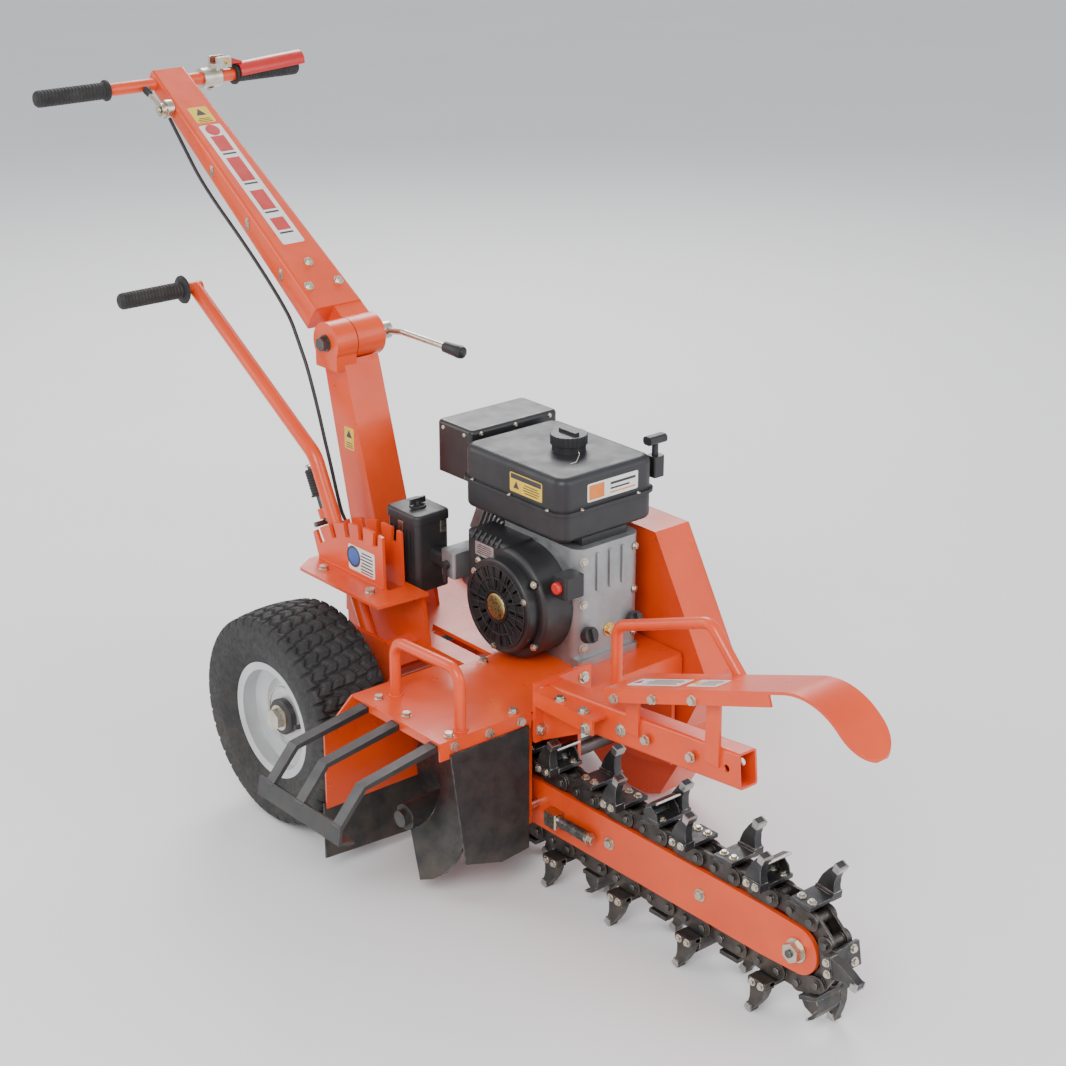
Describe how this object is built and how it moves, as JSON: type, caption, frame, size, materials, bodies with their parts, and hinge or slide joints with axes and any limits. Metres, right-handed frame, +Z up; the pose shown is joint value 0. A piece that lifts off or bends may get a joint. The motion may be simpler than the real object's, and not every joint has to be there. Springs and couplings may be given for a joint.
{
  "type": "walk-behind trencher",
  "caption": "Walk-behind chain trencher: two wheels, folding mast with handlebar, engine deck, digging boom with cutter chain, spoil auger and depth lever.",
  "frame": {"origin": "on the ground under the middle of the machine's box", "axes": "+X forward towards the boom's nose, +Y to the operator's left, +Z up"},
  "size_m": [2.0419, 0.8762, 1.279],
  "materials": {
    "orange_paint": "gloss",
    "black_paint": "satin",
    "silver_paint": "satin",
    "tyre_rubber": "matte",
    "grip_rubber": "matte",
    "zinc_steel": "satin",
    "dark_steel": "satin",
    "cutter_steel": "satin",
    "cast_aluminium": "matte",
    "black_plastic": "matte",
    "red_plastic": "gloss",
    "cable_sleeve": "satin"
  },
  "bodies": {
    "chassis": {"chassis_frame": "orange_paint", "quadrant": "orange_paint", "lower_post": "orange_paint", "hinge_bolt": "zinc_steel", "post_cable": "cable_sleeve", "deck_panel": "orange_paint", "auger_rear_panel": "orange_paint", "auger_wear_plates": "black_paint", "auger_cage": "black_paint", "front_frame": "orange_paint", "guard_plate": "orange_paint", "lifting_loops": "orange_paint", "boom": "orange_paint", "boom_bolts": "zinc_steel", "chain_links": "dark_steel", "chain_cutters": "cutter_steel", "crankcase": "cast_aluminium", "cylinder_head": "cast_aluminium", "fan_housing": "black_plastic", "recoil_cover": "black_paint", "drive_belts": "cable_sleeve", "belt_cover": "orange_paint", "fuel_tank": "black_plastic", "air_filter_box": "black_plastic", "air_filter_lid": "black_plastic", "muffler": "dark_steel", "muffler_guard": "black_paint", "carburettor": "cast_aluminium", "engine_brackets": "black_paint", "oil_plugs": "black_plastic", "frame_bolts": "zinc_steel"},
    "carriage": {"axle_carriage": "orange_paint", "depth_lever": "orange_paint", "depth_grip": "grip_rubber", "wheel_nuts": "zinc_steel"},
    "right_wheel": {"right_tyre": "tyre_rubber", "right_rim": "silver_paint"},
    "left_wheel": {"left_tyre": "tyre_rubber", "left_rim": "silver_paint"},
    "latch": {"latch_rod": "dark_steel"},
    "mast": {"upper_mast": "orange_paint", "handlebar": "orange_paint", "handlebar_grips": "grip_rubber", "control_brackets": "zinc_steel", "mast_cable": "cable_sleeve"},
    "clamp": {"clamp_lever": "zinc_steel"},
    "clutch": {"clutch_lever": "red_plastic"},
    "idler": {"idler_arm": "dark_steel"},
    "throttle": {"throttle_lever": "zinc_steel"},
    "cap": {"fuel_cap": "black_plastic"},
    "starter": {"starter_grip": "grip_rubber"},
    "stop": {"stop_button": "red_plastic"},
    "choke": {"choke_lever": "black_plastic"},
    "digging_shaft": {"drive_shaft": "dark_steel", "auger_flight": "black_paint", "shaft_wheels": "dark_steel"},
    "crank": {"crankshaft": "dark_steel", "flywheel_fan": "dark_steel"},
    "jack": {"jackshaft": "dark_steel"},
    "nose": {"nose_roller": "dark_steel"}
  },
  "joints": [
    {"name": "carriage_swing", "type": "hinge", "parent": "chassis", "child": "carriage", "pos_m": [-0.176, 0.09, 0.25], "axis": [0, 1, 0], "range_deg": [0, 37.4]},
    {"name": "right_wheel_spin", "type": "hinge", "parent": "carriage", "child": "right_wheel", "pos_m": [-0.221, -0.177, 0.205], "axis": [0, 1, 0], "continuous": true},
    {"name": "left_wheel_spin", "type": "hinge", "parent": "carriage", "child": "left_wheel", "pos_m": [-0.221, 0.357, 0.205], "axis": [0, 1, 0], "continuous": true},
    {"name": "latch_slide", "type": "slide", "parent": "carriage", "child": "latch", "axis": [-0.4509, 0, 0.8926], "range_m": [-0.02, 0]},
    {"name": "mast_fold", "type": "hinge", "parent": "chassis", "child": "mast", "pos_m": [-0.396, 0.09, 0.837], "axis": [0, 1, 0], "range_deg": [0, 110]},
    {"name": "clamp_turn", "type": "hinge", "parent": "chassis", "child": "clamp", "pos_m": [-0.396, 0.166, 0.837], "axis": [0, 1, 0], "range_deg": [-70, 20]},
    {"name": "clutch_squeeze", "type": "hinge", "parent": "mast", "child": "clutch", "pos_m": [-0.989, 0.212, 1.269], "axis": [1, 0, 0], "range_deg": [-3.2, 0], "stiffness_Nm_per_rad": 30, "springref_deg": 8.59},
    {"name": "idler_swing", "type": "hinge", "parent": "chassis", "child": "idler", "pos_m": [0.142, 0.352, 0.505], "axis": [0, 1, 0], "range_deg": [0, 3.2]},
    {"name": "throttle_turn", "type": "hinge", "parent": "mast", "child": "throttle", "pos_m": [-0.93323, 0.03, 1.19785], "axis": [0, 1, 0], "range_deg": [-30, 40]},
    {"name": "cap_turn", "type": "hinge", "parent": "chassis", "child": "cap", "pos_m": [0.064, 0.236, 0.716], "axis": [0, 0, 1], "range_deg": [0, 90]},
    {"name": "starter_pull", "type": "slide", "parent": "chassis", "child": "starter", "axis": [0, 0, 1], "range_m": [0, 0.5], "stiffness_N_per_m": 20, "springref_m": -0.3},
    {"name": "stop_press", "type": "slide", "parent": "chassis", "child": "stop", "axis": [0, 1, 0], "range_m": [0, 0.003], "stiffness_N_per_m": 1500, "springref_m": -0.002},
    {"name": "choke_turn", "type": "hinge", "parent": "chassis", "child": "choke", "pos_m": [-0.0589, 0.046, 0.49], "axis": [0, 1, 0], "range_deg": [0, 60]},
    {"name": "digging_shaft_spin", "type": "hinge", "parent": "chassis", "child": "digging_shaft", "pos_m": [0.144, 0.09, 0.146], "axis": [0, 1, 0], "continuous": true},
    {"name": "crank_spin", "type": "hinge", "parent": "chassis", "child": "crank", "pos_m": [0.079, 0.09, 0.451], "axis": [0, 1, 0], "continuous": true},
    {"name": "jack_spin", "type": "hinge", "parent": "chassis", "child": "jack", "pos_m": [0.219, 0.09, 0.318], "axis": [0, 1, 0], "continuous": true},
    {"name": "nose_spin", "type": "hinge", "parent": "chassis", "child": "nose", "pos_m": [0.879, 0.028, 0.146], "axis": [0, 1, 0], "continuous": true}
  ],
  "couplings": [
    {"joint": "crank_spin", "follows": "digging_shaft_spin", "ratio": 5.7375},
    {"joint": "jack_spin", "follows": "digging_shaft_spin", "ratio": 2.7},
    {"joint": "nose_spin", "follows": "digging_shaft_spin", "ratio": 1},
    {"joint": "idler_swing", "follows": "clutch_squeeze", "ratio": -1}
  ]
}
